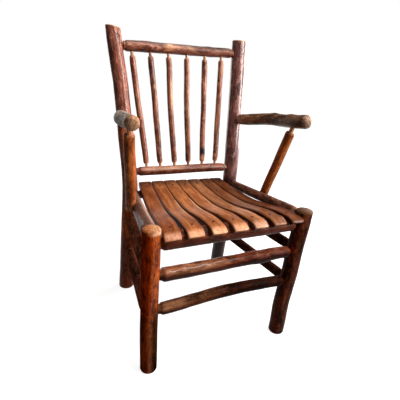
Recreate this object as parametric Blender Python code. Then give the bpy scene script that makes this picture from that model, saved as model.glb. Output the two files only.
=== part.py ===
"""Hickory armchair with a shaped slat seat.

Round poles with shouldered tenons sit in bored mortises, and seven bent slats are nailed to
the front and rear seat rails. Metres, +Z up. The chair faces -Y, and left and right are as
seen by someone facing it. y = 0 is the lowest line of the seat, until the last step centres
the whole chair on the origin.
"""

import math

import bmesh
import bpy
from mathutils import Matrix, Vector

# Fits
FIT = 0.0003  # gap between two pieces that touch
WEB = 0.002  # wood left between two tenons that meet inside one post

# Front posts
LEFT_FRONT_HALF_WIDTH = 0.232  # centre plane to the post's axis, at seat height
RIGHT_FRONT_HALF_WIDTH = 0.2395
FRONT_REACH = 0.207  # lowest line of the seat to the front posts, at seat height
FRONT_KICK = math.radians(1.5)  # the front feet stand a little under the seat
RIGHT_FRONT_TUCK = math.radians(2.35)  # and the right one leans in
LEFT_FRONT_RISE = 0.017  # seat crest to the top of the post
RIGHT_FRONT_RISE = 0.0145
LEFT_FRONT_FOOT_D = 0.0485
LEFT_FRONT_TOP_D = 0.047
RIGHT_FRONT_D = 0.051
FRONT_CROWN = 0.007  # rise of a front post's rounded top

# Rear posts: a leg that kicks back and a back that leans, joined by one bend
LEFT_REAR_HALF_WIDTH = 0.191  # centre plane to the corner of the bend
RIGHT_REAR_HALF_WIDTH = 0.1985
REAR_REACH = 0.172  # lowest line of the seat to the corner of the bend
BEND_Z = 0.447
BEND_LENGTH = 0.09  # over which the corner is rounded
BACK_LEAN = math.radians(8.8)
LEFT_BACK_FLARE = math.radians(4.5)
RIGHT_BACK_FLARE = math.radians(3.0)
LEG_KICK = math.radians(6.8)
LEFT_LEG_SPLAY = math.radians(1.6)
LEFT_REAR_RISE = 0.0485  # middle of the crest rail to the top of the post
RIGHT_REAR_RISE = 0.0515
LEFT_REAR_FOOT_D = 0.057
LEFT_REAR_TOP_D = 0.0475
RIGHT_REAR_FOOT_D = 0.053
RIGHT_REAR_TOP_D = 0.0555
REAR_CROWN = 0.004
FOOT_ROUND = 0.005  # rounded edge under every foot

# Back
CREST_Z = 0.8855
CREST_TILT = 0.012  # the right end sits this much higher than the left
CREST_LEFT_D = 0.0335
CREST_RIGHT_D = 0.032
CREST_TENON_D = 0.020
LOWER_RAIL_Z = 0.483
LOWER_RAIL_D = 0.0315
LOWER_RAIL_TENON_D = 0.017
SPINDLES = 6
SPINDLE_D = 0.0195
SPINDLE_TENON_D = 0.010
SPINDLE_NECK = 0.009  # bare tenon seen between the shoulder and the rail
SPINDLE_TOP_PITCH = 0.0655
SPINDLE_FOOT_PITCH = 0.0531
SPINDLE_TOP_SHIFT = -0.0142
SPINDLE_FOOT_SHIFT = -0.004

# Arms and their supports
ARM_REAR_Z = 0.663
LEFT_ARM_TIP_Z = 0.698
RIGHT_ARM_TIP_Z = 0.700
LEFT_ARM_TIP_HALF_WIDTH = 0.2615
RIGHT_ARM_TIP_HALF_WIDTH = 0.258
ARM_TIP_REACH = 0.143
ARM_BOW = 0.017  # each arm bows outward at its middle
ARM_RISE = 0.006  # and a little upward
LEFT_ARM_D = 0.040
RIGHT_ARM_D = 0.039
ARM_SWELL = 0.003  # the tip is this much thicker than the rear end
ARM_TENON_D = 0.026
ARM_CROWN = 0.012
SUPPORT_FOOT_D = 0.032
SUPPORT_TOP_D = 0.0295
SUPPORT_TENON_D = 0.014
SUPPORT_SETBACK = 0.058  # arm tip to the support, along the arm
SUPPORT_FOOT_Y = 0.003
SUPPORT_LAP = 0.003  # the foot laps the outside of the side rail, its axis this far from the rail's side
SUPPORT_DROP = 0.002  # and ends this far below the rail's axis
SUPPORT_NAIL_RISE = 0.009  # foot's end to the nail that holds it
SUPPORT_NECK = 0.011

# Seat
SLATS = 7
SLAT_REAR_GAP = 0.0012  # between two slats at their rear ends
SLAT_MIDDLE_WIDTH = 0.0485  # at the lowest line of the seat
SLAT_FRONT_WIDTH = 0.044
SLAT_THICKNESS = 0.0155
SLAT_EASE = 0.002  # eased upper edges
LEFT_SLAT_REAR_INSET = 0.0544  # post's axis to the middle of the outermost slat
LEFT_SLAT_FRONT_INSET = 0.0491
RIGHT_SLAT_REAR_INSET = 0.0549
RIGHT_SLAT_FRONT_INSET = 0.0426
SLAT_REAR_END = 0.203  # lowest line of the seat to the slats' rear ends
SEAT_DIP_Z = 0.420
SEAT_CREST_Z = 0.441
SEAT_CREST_REACH = 0.185  # lowest line of the seat to the front crest
SEAT_REAR_RISE = 0.0175
ROLL_R = 0.040  # rolled front, on the upper face
ROLL_ANGLE = math.radians(46)
FRONT_RAIL_D = 0.0395
FRONT_RAIL_SETBACK = 0.007  # the front rail lies this far behind the posts' axes
REAR_RAIL_D = 0.032
REAR_RAIL_SETBACK = 0.006  # and the rear rail this far in front of them
SIDE_RAIL_REAR_Z = 0.420
SIDE_RAIL_FRONT_Z = 0.432
LEFT_RAIL_REAR_D = 0.034
LEFT_RAIL_FRONT_D = 0.041
RIGHT_RAIL_REAR_D = 0.030
RIGHT_RAIL_FRONT_D = 0.034
RAIL_TENON_D = 0.021

# Stretchers
UPPER_FRONT_Z = 0.315
UPPER_FRONT_LEFT_D = 0.039
UPPER_FRONT_RIGHT_D = 0.0365
LOWER_FRONT_LEFT_Z = 0.205
LOWER_FRONT_RIGHT_Z = 0.210
LOWER_FRONT_D = 0.0345
LOWER_FRONT_RISE = 0.011  # natural upward bow at its middle
LEFT_UPPER_SIDE_Z = 0.309
LEFT_LOWER_SIDE_Z = 0.181
RIGHT_UPPER_SIDE_Z = 0.321
RIGHT_LOWER_SIDE_Z = 0.205
LEFT_SIDE_D = 0.032
RIGHT_SIDE_D = 0.0285
REAR_STRETCHER_Z = 0.186
REAR_STRETCHER_D = 0.030
STRETCHER_TENON_D = 0.019

# Joints and nails
NECK = 0.006  # turned neck seen between a pole's shoulder and its post
NECK_SHARE = 0.82  # neck thickness as a share of the pole's
SHOULDER = 0.007  # length of the rounded shoulder
DEEP_STOP = 0.003  # a tenon with the bore to itself stops this short of the host's axis
NAIL_LENGTH = 0.028
NAIL_SHANK_D = 0.0026
NAIL_HEAD_D = 0.0066
NAIL_HEAD_T = 0.0014
NAIL_INSET = 0.013  # nails sit this far inside the rail's axis

# Facets round a pole, a slat rail, a spindle and a nail
POLE_SIDES = 12
POST_SIDES = 16
SPINDLE_SIDES = 10
NAIL_SIDES = 8

# Finishes: linear colour, roughness, metallic value
VARNISH = ((0.165, 0.050, 0.026), 0.34, 0.0)
DARK_VARNISH = ((0.085, 0.034, 0.022), 0.38, 0.0)
BARK = ((0.110, 0.075, 0.060), 0.55, 0.0)
HONEY = ((0.350, 0.135, 0.058), 0.36, 0.0)
STEEL = ((0.055, 0.042, 0.038), 0.50, 0.8)

SIDES = {"left": -1, "right": 1}
FAR = 0.02  # how far a cutter runs out past the surface it enters


def clear_scene():
    for obj in list(bpy.data.objects):
        bpy.data.objects.remove(obj, do_unlink=True)


def ramp(u):
    """u where it is positive and 0 where it is negative, rounded over the bend."""
    return (u + math.hypot(u, BEND_LENGTH)) / 2


def rear_y(z):
    """How far behind the lowest line of the seat a rear post's axis is at height z."""
    return REAR_REACH + math.tan(BACK_LEAN) * ramp(z - BEND_Z) + math.tan(LEG_KICK) * ramp(BEND_Z - z)


def rear_axis(half_width, flare, splay):
    """Axis of a bent rear post, as a function of height. The half width's sign is its side."""
    sign = math.copysign(1, half_width)

    def axis(z):
        spread = math.tan(flare) * ramp(z - BEND_Z) + math.tan(splay) * ramp(BEND_Z - z)
        return Vector((half_width + sign * spread, rear_y(z), z))

    return axis


def front_axis(half_width, tuck):
    """Axis of a straight front post, as a function of height."""
    sign = math.copysign(1, half_width)

    def axis(z):
        below = SEAT_CREST_Z - z
        x = half_width - sign * math.tan(tuck) * below
        return Vector((x, -FRONT_REACH + math.tan(FRONT_KICK) * below, z))

    return axis


def crown_profile(rise, radius):
    """Rounded end: distance below the top and radius, from the rim up to a small flat."""
    for degrees in (90, 62, 38, 18):
        angle = math.radians(degrees)
        yield rise * (1 - math.cos(angle)), radius * math.sin(angle)


class Post:
    """An upright whose axis is a function of height, and the mortises bored in it."""

    def __init__(self, name, axis, height, foot_d, top_d, crown):
        self.name = name
        self.at = axis
        self.height = height
        self.foot_r = foot_d / 2
        self.top_r = top_d / 2
        self.crown = crown
        self.bores = []
        self.sides = POST_SIDES

    def radius_at(self, point):
        return self.foot_r + (self.top_r - self.foot_r) * point.z / self.height

    def direction_at(self, point):
        return (self.at(point.z + 0.01) - self.at(point.z - 0.01)).normalized()

    def matrix(self):
        return Matrix.Translation(self.at(0))

    def rings(self):
        """Rounded foot, plain length and rounded top, as level circles in the post's frame."""
        stations = [(0.0, -FOOT_ROUND), (FOOT_ROUND * 0.3, -FOOT_ROUND * 0.3), (FOOT_ROUND, 0.0)]
        steps = max(4, round(self.height / 0.07))
        rim = self.height - self.crown
        stations += [(FOOT_ROUND + (rim - FOOT_ROUND) * k / steps, 0.0) for k in range(1, steps)]
        levels = [(z, self.radius_at(Vector((0, 0, z))) + change) for z, change in stations]
        levels += [(self.height - drop, r) for drop, r in crown_profile(self.crown, self.top_r)]
        foot = self.at(0)
        return [circle(self.at(z) - foot, r, self.sides) for z, r in levels]


class Pole:
    """A round pole from start to end. Each end is a tenon in a host or a rounded tip."""

    def __init__(self, name, start, end, start_d, end_d, bow=Vector(), sides=POLE_SIDES):
        self.name = name
        self.start = start
        self.length = (end - start).length
        self.along = (end - start).normalized()
        self.start_r = start_d / 2
        self.end_r = end_d / 2
        self.bow = bow
        self.sides = sides
        self.ends = {}
        self.bores = []

    def matrix(self):
        return facing(self.start, self.along)

    def body_radius(self, s):
        return self.start_r + (self.end_r - self.start_r) * s / self.length

    def radius_at(self, point):
        return self.body_radius((point - self.start).dot(self.along))

    def direction_at(self, point):
        return self.along

    def tenon(self, end, host, tenon_d, neck, stop, neck_share=NECK_SHARE):
        """Seats one end in the host: neck, shoulder and tenon here, and the bore in the host."""
        at_start = end == "start"
        point = self.start if at_start else self.start + self.along * self.length
        body_r = self.start_r if at_start else self.end_r
        neck_r = max(body_r * neck_share, tenon_d / 2)
        slant = abs(self.along.dot(host.direction_at(point)))
        face = (host.radius_at(point) + slant * neck_r) / math.sqrt(1 - slant * slant) + FIT
        profile = [(stop, tenon_d / 2), (face, tenon_d / 2)]
        if neck_r > tenon_d / 2:
            profile.append((face, neck_r))
        rise = body_r - neck_r
        for degrees in (0, 45, 90):
            angle = math.radians(degrees)
            profile.append((face + neck + SHOULDER * (1 - math.cos(angle)), neck_r + rise * math.sin(angle)))
        self.ends[end] = profile
        low, high = stop - FIT, face + FAR
        if not at_start:
            low, high = self.length - high, self.length - low
        host.bores.append((self.matrix(), low, high, tenon_d / 2 + FIT, self.sides))

    def tip(self, end, crown):
        """Rounds one end."""
        radius = self.start_r if end == "start" else self.end_r
        self.ends[end] = list(reversed(list(crown_profile(crown, radius))))

    def square_end(self, end):
        """Saws one end off square."""
        self.ends[end] = [(0.0, self.start_r if end == "start" else self.end_r)]

    def body_span(self):
        return self.ends["start"][-1][0], self.length - self.ends["end"][-1][0]

    def bend(self, s):
        """Sideways offset of the axis: none at the joints and all of the bow at mid length."""
        low, high = self.body_span()
        share = min(max((s - low) / (high - low), 0.0), 1.0)
        return self.bow * math.sin(math.pi * share) ** 2

    def at(self, s):
        return self.start + self.along * s + self.bend(s)

    def rings(self):
        """Circles across the pole from start to end, in its own frame with +Z along it."""
        low, high = self.body_span()
        steps = 10 if self.bow.length > 0.01 else 4
        stations = list(self.ends["start"])
        for k in range(1, steps):
            s = low + (high - low) * k / steps
            stations.append((s, self.body_radius(s)))
        stations += [(self.length - s, r) for s, r in reversed(self.ends["end"])]
        turn = self.matrix().to_3x3().inverted()
        return [circle(Vector((0, 0, s)) + turn @ self.bend(s), r, self.sides) for s, r in stations]


def circle(centre, radius, sides):
    """Points of a level circle."""
    turns = [2 * math.pi * k / sides for k in range(sides)]
    return [centre + Vector((math.cos(t), math.sin(t), 0)) * radius for t in turns]


def loft(mesh, rings):
    """Adds a closed solid through rings of points, with a flat cap at each end."""
    loops = [[mesh.verts.new(point) for point in ring] for ring in rings]
    count = len(rings[0])
    faces = []
    for low, high in zip(loops, loops[1:]):
        for k in range(count):
            n = (k + 1) % count
            faces.append(mesh.faces.new((low[k], low[n], high[n], high[k])))
    faces.append(mesh.faces.new(loops[0]))
    faces.append(mesh.faces.new(loops[-1]))
    bmesh.ops.recalc_face_normals(mesh, faces=faces)


def add_object(name, solids, matrix=Matrix.Identity(4)):
    """A mesh object made of one or more lofts, hung on the chair's empty."""
    mesh = bmesh.new()
    for rings in solids:
        loft(mesh, rings)
    data = bpy.data.meshes.new(name)
    mesh.to_mesh(data)
    mesh.free()
    data.shade_smooth()
    data.set_sharp_from_angle(angle=math.radians(40))
    obj = bpy.data.objects.new(name, data)
    bpy.context.scene.collection.objects.link(obj)
    obj.parent = bpy.data.objects["hickory_armchair"]
    obj.matrix_local = matrix
    return obj


def add_finish(obj, finish):
    """Gives an object its own material."""
    colour, roughness, metallic = finish
    material = bpy.data.materials.new(obj.name + "_finish")
    material.use_nodes = True
    shader = material.node_tree.nodes["Principled BSDF"]
    shader.inputs["Base Color"].default_value = (*colour, 1.0)
    shader.inputs["Roughness"].default_value = roughness
    shader.inputs["Metallic"].default_value = metallic
    obj.data.materials.append(material)


def add_cutter(name, solids, matrix=Matrix.Identity(4)):
    """A hidden helper that other objects are cut with."""
    cutter = add_object(name, solids, matrix)
    cutter.hide_render = True
    cutter.display_type = "WIRE"
    return cutter


def cut(obj, cutter):
    modifier = obj.modifiers.new(cutter.name, "BOOLEAN")
    modifier.operation = "DIFFERENCE"
    modifier.solver = "EXACT"
    modifier.object = cutter


def bore_rings(bore):
    """A plain round bore as two circles, in the chair's frame."""
    matrix, low, high, radius, sides = bore
    return [[matrix @ point for point in circle(Vector((0, 0, s)), radius, sides)] for s in (low, high)]


def add_member(member, finish):
    """Builds a post or pole and bores its mortises."""
    obj = add_object(member.name, [member.rings()], member.matrix())
    add_finish(obj, finish)
    if member.bores:
        cut(obj, add_cutter(member.name + "_bores", [bore_rings(bore) for bore in member.bores]))
    return obj


def slat_top(y):
    """Height of the slats' upper face at y, up to the front crest."""
    if y >= 0:
        return SEAT_DIP_Z + SEAT_REAR_RISE * (y / SLAT_REAR_END) ** 2
    share = min(-y / SEAT_CREST_REACH, 1.0)
    return SEAT_DIP_Z + (SEAT_CREST_Z - SEAT_DIP_Z) * (1 - math.cos(math.pi * share)) / 2


def slat_normal(y):
    """Unit vector square to the slats' upper face at y."""
    step = 0.0005
    slope = (slat_top(y + step) - slat_top(y - step)) / (2 * step)
    return Vector((0, -slope, 1)).normalized()


def slat_pitches():
    """Distance between the slats' middle lines at their rear and front ends, set by the posts."""
    rear = LEFT_REAR_HALF_WIDTH + RIGHT_REAR_HALF_WIDTH - LEFT_SLAT_REAR_INSET - RIGHT_SLAT_REAR_INSET
    front = LEFT_FRONT_HALF_WIDTH + RIGHT_FRONT_HALF_WIDTH - LEFT_SLAT_FRONT_INSET - RIGHT_SLAT_FRONT_INSET
    return rear / (SLATS - 1), front / (SLATS - 1)


def slat_centre(number, y):
    """x of a slat's middle line at y: the slats fan out toward the front."""
    rear_pitch, front_pitch = slat_pitches()
    rear = LEFT_SLAT_REAR_INSET - LEFT_REAR_HALF_WIDTH + (number - 1) * rear_pitch
    front = LEFT_SLAT_FRONT_INSET - LEFT_FRONT_HALF_WIDTH + (number - 1) * front_pitch
    share = (SLAT_REAR_END - y) / (SLAT_REAR_END + FRONT_REACH + ROLL_R * math.sin(ROLL_ANGLE))
    return rear + (front - rear) * share


def slat_half_width(y):
    """Half of a slat's width at y: widest at the lowest line of the seat."""
    if y >= 0:
        end, share = slat_pitches()[0] - SLAT_REAR_GAP, y / SLAT_REAR_END
    else:
        end, share = SLAT_FRONT_WIDTH, -y / (FRONT_REACH + ROLL_R * math.sin(ROLL_ANGLE))
    return (SLAT_MIDDLE_WIDTH + (end - SLAT_MIDDLE_WIDTH) * share * share) / 2


def slat_path():
    """Side view of the slats' upper face, rear to front: points and square directions."""
    stations = [SLAT_REAR_END * (1 - k / 5) for k in range(5)]
    # The crest lies before the roll, or where the roll starts if the rise is longer than that.
    crest = min(SEAT_CREST_REACH, FRONT_REACH)
    stations += [-crest * k / 7 for k in range(8)]
    path = [(y, slat_top(y), slat_normal(y)) for y in stations]
    for k in range(0 if crest < FRONT_REACH else 1, 6):
        angle = ROLL_ANGLE * k / 5
        square = Vector((0, -math.sin(angle), math.cos(angle)))
        centre_z = slat_top(-FRONT_REACH) - ROLL_R
        path.append((-FRONT_REACH + ROLL_R * square.y, centre_z + ROLL_R * square.z, square))
    return path


def slat_rings(number):
    """Sections of one slat along the path: a thin board with eased upper edges."""
    rings = []
    for y, z, square in slat_path():
        half = slat_half_width(y)
        section = [
            (-half, -SLAT_THICKNESS),
            (half, -SLAT_THICKNESS),
            (half, -SLAT_EASE),
            (half - SLAT_EASE, 0),
            (SLAT_EASE - half, 0),
            (-half, -SLAT_EASE),
        ]
        middle = Vector((slat_centre(number, y) - slat_centre(number, 0), y, z))
        rings.append([middle + Vector((u, 0, 0)) + square * v for u, v in section])
    return rings


def rail_height(y, diameter):
    """Height of a cross rail's axis at y, so that the slats lie on the rail."""
    square = slat_normal(y)
    return slat_top(y) - (SLAT_THICKNESS + diameter / 2 + FIT) / square.z


def facing(point, outward):
    """Frame at a point with +Z pointing outward."""
    return Matrix.Translation(point) @ outward.to_track_quat("Z", "Y").to_matrix().to_4x4()


def nail_hole(matrix):
    return matrix, -NAIL_LENGTH - FIT, FAR, NAIL_SHANK_D / 2 + FIT, NAIL_SIDES


def nail_rings():
    """Point, shank and low domed head, with the face that it is driven into at 0."""
    shank = NAIL_SHANK_D / 2
    head = NAIL_HEAD_D / 2
    stations = [
        (-NAIL_LENGTH, shank * 0.4),
        (-NAIL_LENGTH + 2 * NAIL_SHANK_D, shank),
        (FIT, shank),
        (FIT, head),
        (FIT + NAIL_HEAD_T * 0.5, head),
        (FIT + NAIL_HEAD_T, head * 0.6),
    ]
    return [circle(Vector((0, 0, s)), r, NAIL_SIDES) for s, r in stations]


def crossing_stop(tenon_d):
    """Where a tenon ends, short of the post's axis, to miss one that crosses it."""
    return tenon_d / 2 + 2 * FIT + WEB


def make_posts():
    left_front = front_axis(-LEFT_FRONT_HALF_WIDTH, 0.0)
    right_front = front_axis(RIGHT_FRONT_HALF_WIDTH, RIGHT_FRONT_TUCK)
    left_rear = rear_axis(-LEFT_REAR_HALF_WIDTH, LEFT_BACK_FLARE, LEFT_LEG_SPLAY)
    right_rear = rear_axis(RIGHT_REAR_HALF_WIDTH, RIGHT_BACK_FLARE, 0.0)
    left_height = SEAT_CREST_Z + LEFT_FRONT_RISE
    right_height = SEAT_CREST_Z + RIGHT_FRONT_RISE
    shapes = {
        ("left", "front"): (left_front, left_height, LEFT_FRONT_FOOT_D, LEFT_FRONT_TOP_D, FRONT_CROWN),
        ("right", "front"): (right_front, right_height, RIGHT_FRONT_D, RIGHT_FRONT_D, FRONT_CROWN),
        ("left", "rear"): (left_rear, CREST_Z + LEFT_REAR_RISE, LEFT_REAR_FOOT_D, LEFT_REAR_TOP_D, REAR_CROWN),
        ("right", "rear"): (right_rear, CREST_Z + RIGHT_REAR_RISE, RIGHT_REAR_FOOT_D, RIGHT_REAR_TOP_D, REAR_CROWN),
    }
    return {(side, place): Post(f"{side}_{place}_post", *shape) for (side, place), shape in shapes.items()}


def make_cross_pole(name, hosts, points, diameter, tenon_d, stop, bow=Vector(), sides=POLE_SIDES):
    """A pole with a tenon at both ends."""
    pole = Pole(name, points[0], points[1], diameter[0], diameter[1], bow, sides)
    pole.tenon("start", hosts[0], tenon_d, NECK, stop)
    pole.tenon("end", hosts[1], tenon_d, NECK, stop)
    return pole


def make_seat_rails(posts):
    stop = crossing_stop(RAIL_TENON_D)
    rails = {}
    for name, place, y, diameter in (
        ("front_seat_rail", "front", FRONT_RAIL_SETBACK - FRONT_REACH, FRONT_RAIL_D),
        ("rear_seat_rail", "rear", rear_y(SEAT_DIP_Z) - REAR_RAIL_SETBACK, REAR_RAIL_D),
    ):
        hosts = [posts[side, place] for side in SIDES]
        z = rail_height(y, diameter)
        points = [Vector((host.at(z).x, y, z)) for host in hosts]
        rails[place] = make_cross_pole(
            name, hosts, points, (diameter, diameter), RAIL_TENON_D, stop, sides=POST_SIDES
        )
    for side, diameter in (
        ("left", (LEFT_RAIL_REAR_D, LEFT_RAIL_FRONT_D)),
        ("right", (RIGHT_RAIL_REAR_D, RIGHT_RAIL_FRONT_D)),
    ):
        hosts = [posts[side, "rear"], posts[side, "front"]]
        points = [hosts[0].at(SIDE_RAIL_REAR_Z), hosts[1].at(SIDE_RAIL_FRONT_Z)]
        rails[side] = make_cross_pole(side + "_seat_rail", hosts, points, diameter, RAIL_TENON_D, stop)
    return rails


def make_stretchers(posts):
    stop = crossing_stop(STRETCHER_TENON_D)
    poles = []
    front_hosts = [posts["left", "front"], posts["right", "front"]]
    rear_hosts = [posts["left", "rear"], posts["right", "rear"]]
    rise = Vector((0, 0, LOWER_FRONT_RISE))
    upper_z, upper_d = (UPPER_FRONT_Z, UPPER_FRONT_Z), (UPPER_FRONT_LEFT_D, UPPER_FRONT_RIGHT_D)
    lower_z, lower_d = (LOWER_FRONT_LEFT_Z, LOWER_FRONT_RIGHT_Z), (LOWER_FRONT_D, LOWER_FRONT_D)
    rear_z, rear_d = (REAR_STRETCHER_Z, REAR_STRETCHER_Z), (REAR_STRETCHER_D, REAR_STRETCHER_D)
    for name, hosts, heights, diameter, bow in (
        ("upper_front_stretcher", front_hosts, upper_z, upper_d, Vector()),
        ("lower_front_stretcher", front_hosts, lower_z, lower_d, rise),
        ("rear_stretcher", rear_hosts, rear_z, rear_d, Vector()),
    ):
        points = [host.at(z) for host, z in zip(hosts, heights)]
        poles.append(make_cross_pole(name, hosts, points, diameter, STRETCHER_TENON_D, stop, bow))
    for side, level, z, diameter in (
        ("left", "upper", LEFT_UPPER_SIDE_Z, LEFT_SIDE_D),
        ("left", "lower", LEFT_LOWER_SIDE_Z, LEFT_SIDE_D),
        ("right", "upper", RIGHT_UPPER_SIDE_Z, RIGHT_SIDE_D),
        ("right", "lower", RIGHT_LOWER_SIDE_Z, RIGHT_SIDE_D),
    ):
        hosts = [posts[side, "rear"], posts[side, "front"]]
        points = [host.at(z) for host in hosts]
        name = f"{side}_{level}_side_stretcher"
        poles.append(make_cross_pole(name, hosts, points, (diameter, diameter), STRETCHER_TENON_D, stop))
    return poles


def make_back(posts):
    hosts = [posts["left", "rear"], posts["right", "rear"]]
    crest_points = [hosts[0].at(CREST_Z - CREST_TILT / 2), hosts[1].at(CREST_Z + CREST_TILT / 2)]
    lower_points = [host.at(LOWER_RAIL_Z) for host in hosts]
    crest = make_cross_pole(
        "crest_rail", hosts, crest_points, (CREST_LEFT_D, CREST_RIGHT_D), CREST_TENON_D, DEEP_STOP
    )
    lower = make_cross_pole(
        "lower_back_rail", hosts, lower_points, (LOWER_RAIL_D, LOWER_RAIL_D), LOWER_RAIL_TENON_D, DEEP_STOP
    )
    spindles = []
    for number in range(1, SPINDLES + 1):
        place = number - (SPINDLES + 1) / 2
        foot_x = SPINDLE_FOOT_SHIFT + place * SPINDLE_FOOT_PITCH
        top_x = SPINDLE_TOP_SHIFT + place * SPINDLE_TOP_PITCH
        foot = lower.at((foot_x - lower.start.x) / lower.along.x)
        top = crest.at((top_x - crest.start.x) / crest.along.x)
        spindle = Pole(f"back_spindle_{number}", foot, top, SPINDLE_D, SPINDLE_D, sides=SPINDLE_SIDES)
        neck_share = SPINDLE_TENON_D / SPINDLE_D
        spindle.tenon("start", lower, SPINDLE_TENON_D, SPINDLE_NECK, DEEP_STOP, neck_share)
        spindle.tenon("end", crest, SPINDLE_TENON_D, SPINDLE_NECK, DEEP_STOP, neck_share)
        spindles.append(spindle)
    return [crest, lower], spindles


def make_arms(posts):
    arms = {}
    tips = {
        "left": (-LEFT_ARM_TIP_HALF_WIDTH, LEFT_ARM_TIP_Z, LEFT_ARM_D),
        "right": (RIGHT_ARM_TIP_HALF_WIDTH, RIGHT_ARM_TIP_Z, RIGHT_ARM_D),
    }
    for side, sign in SIDES.items():
        host = posts[side, "rear"]
        tip_x, tip_z, diameter = tips[side]
        end = Vector((tip_x, -ARM_TIP_REACH, tip_z))
        thin, thick = diameter - ARM_SWELL / 2, diameter + ARM_SWELL / 2
        arm = Pole(side + "_arm", host.at(ARM_REAR_Z), end, thin, thick, Vector((sign * ARM_BOW, 0, ARM_RISE)))
        arm.tenon("start", host, ARM_TENON_D, NECK, DEEP_STOP)
        arm.tip("end", ARM_CROWN)
        arms[side] = arm
    return arms


def make_supports(arms, rails):
    """Sticks that lap the side rails at the foot and are tenoned into the arms."""
    supports = {}
    for side, sign in SIDES.items():
        arm, rail = arms[side], rails[side]
        seat = rail.at((SUPPORT_FOOT_Y - rail.start.y) / rail.along.y)
        foot = seat + Vector((sign * (rail.radius_at(seat) + SUPPORT_LAP), 0, -SUPPORT_DROP))
        top = arm.at(arm.length - SUPPORT_SETBACK)
        support = Pole(side + "_arm_support", foot, top, SUPPORT_FOOT_D, SUPPORT_TOP_D)
        support.square_end("start")
        support.tenon("end", arm, SUPPORT_TENON_D, SUPPORT_NECK, DEEP_STOP, SUPPORT_TENON_D / SUPPORT_TOP_D)
        supports[side] = support
    return supports


def add_support(support, rail, rail_object, sign):
    """Builds a support, copes its foot to the rail and nails it there."""
    obj = add_member(support, VARNISH)
    middle = (support.start - rail.start).dot(rail.along)
    cope = []
    for s in (middle - 3 * SUPPORT_FOOT_D, middle + 3 * SUPPORT_FOOT_D):
        cope.append(circle(Vector((0, 0, s)), rail.body_radius(s) + FIT, rail.sides))
    cut(obj, add_cutter(support.name + "_cope", [cope], rail.matrix()))

    # The nail runs level through the support's middle into the rail.
    middle = support.at(SUPPORT_NAIL_RISE)
    outward = rail.along.cross(Vector((0, 0, -sign))).normalized()
    slant = support.along.dot(outward)
    face = middle + outward * (support.radius_at(middle) / math.sqrt(1 - slant * slant))
    matrix = facing(face, outward)
    nail = add_object(support.name + "_nail", [nail_rings()], matrix)
    add_finish(nail, STEEL)
    cutter = add_cutter(support.name + "_nail_hole", [bore_rings(nail_hole(matrix))])
    cut(obj, cutter)
    cut(rail_object, cutter)


def add_seat(rails, rail_objects, right_front_post):
    """Slats, their nails and the holes for them."""
    slats = {}
    for number in range(1, SLATS + 1):
        place = Matrix.Translation((slat_centre(number, 0), 0, 0))
        slats[number] = add_object(f"seat_slat_{number}", [slat_rings(number)], place)
        add_finish(slats[number], HONEY)

    for place, inward in (("front", 1), ("rear", -1)):
        y = rails[place].start.y + inward * NAIL_INSET
        holes = []
        for number in range(1, SLATS + 1):
            matrix = facing(Vector((slat_centre(number, y), y, slat_top(y))), slat_normal(y))
            nail = add_object(f"{place}_slat_nail_{number}", [nail_rings()], matrix)
            add_finish(nail, STEEL)
            holes.append(bore_rings(nail_hole(matrix)))
        cutter = add_cutter(place + "_nail_holes", holes)
        for obj in (*slats.values(), rail_objects[place]):
            cut(obj, cutter)

    # The outermost right slat is notched round the front post that it laps.
    notch = []
    for z in (SEAT_DIP_Z - FAR, SEAT_CREST_Z + FAR):
        point = right_front_post.at(z)
        notch.append(circle(point, right_front_post.radius_at(point) + FIT, POST_SIDES))
    cut(slats[SLATS], add_cutter("slat_notch", [notch]))


def centre_chair(root):
    """Moves the empty so that the chair stands centred on the origin."""
    bpy.context.view_layer.update()
    corners = []
    for obj in root.children:
        if not obj.hide_render:
            corners += [obj.matrix_local @ vertex.co for vertex in obj.data.vertices]
    for axis in (0, 1):
        values = [corner[axis] for corner in corners]
        root.location[axis] = -(min(values) + max(values)) / 2


def main():
    clear_scene()
    root = bpy.data.objects.new("hickory_armchair", None)
    bpy.context.scene.collection.objects.link(root)

    posts = make_posts()
    rails = make_seat_rails(posts)
    stretchers = make_stretchers(posts)
    back_rails, spindles = make_back(posts)
    arms = make_arms(posts)
    supports = make_supports(arms, rails)

    for post in posts.values():
        add_member(post, VARNISH)
    for pole in (*back_rails, *spindles):
        add_member(pole, VARNISH)
    for pole in (*stretchers, *arms.values()):
        add_member(pole, DARK_VARNISH)
    rail_objects = {place: add_member(pole, BARK) for place, pole in rails.items()}
    for side, sign in SIDES.items():
        add_support(supports[side], rails[side], rail_objects[side], sign)
    add_seat(rails, rail_objects, posts["right", "front"])
    centre_chair(root)


main()
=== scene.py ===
"""Looks of the hickory armchair: natural poles, shaped slats and a soft studio round the CAD frame."""

import math
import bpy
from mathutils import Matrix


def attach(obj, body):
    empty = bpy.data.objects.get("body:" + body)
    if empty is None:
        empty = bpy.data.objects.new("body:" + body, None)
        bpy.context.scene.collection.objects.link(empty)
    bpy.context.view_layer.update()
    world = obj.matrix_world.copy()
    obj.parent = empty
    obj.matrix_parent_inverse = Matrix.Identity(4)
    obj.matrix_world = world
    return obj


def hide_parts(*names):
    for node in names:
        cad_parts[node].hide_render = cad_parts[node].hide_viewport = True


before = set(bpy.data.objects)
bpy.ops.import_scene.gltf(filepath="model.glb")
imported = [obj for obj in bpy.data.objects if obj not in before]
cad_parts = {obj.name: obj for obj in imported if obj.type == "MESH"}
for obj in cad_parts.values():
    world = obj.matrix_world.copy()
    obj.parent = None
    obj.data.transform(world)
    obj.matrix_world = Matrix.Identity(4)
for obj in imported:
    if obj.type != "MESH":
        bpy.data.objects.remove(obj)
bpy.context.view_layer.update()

import zlib

import bpy
import numpy as np
from mathutils import Matrix, Vector, noise

UP = Vector((0, 0, 1))
FRONT = Vector((0, -1, 0))
TINY = 1e-6

# Blender starts its vector noise from the clock. This seed gives the poles the same bends each run.
NOISE_SEED = 1
noise.seed_set(NOISE_SEED)


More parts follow.
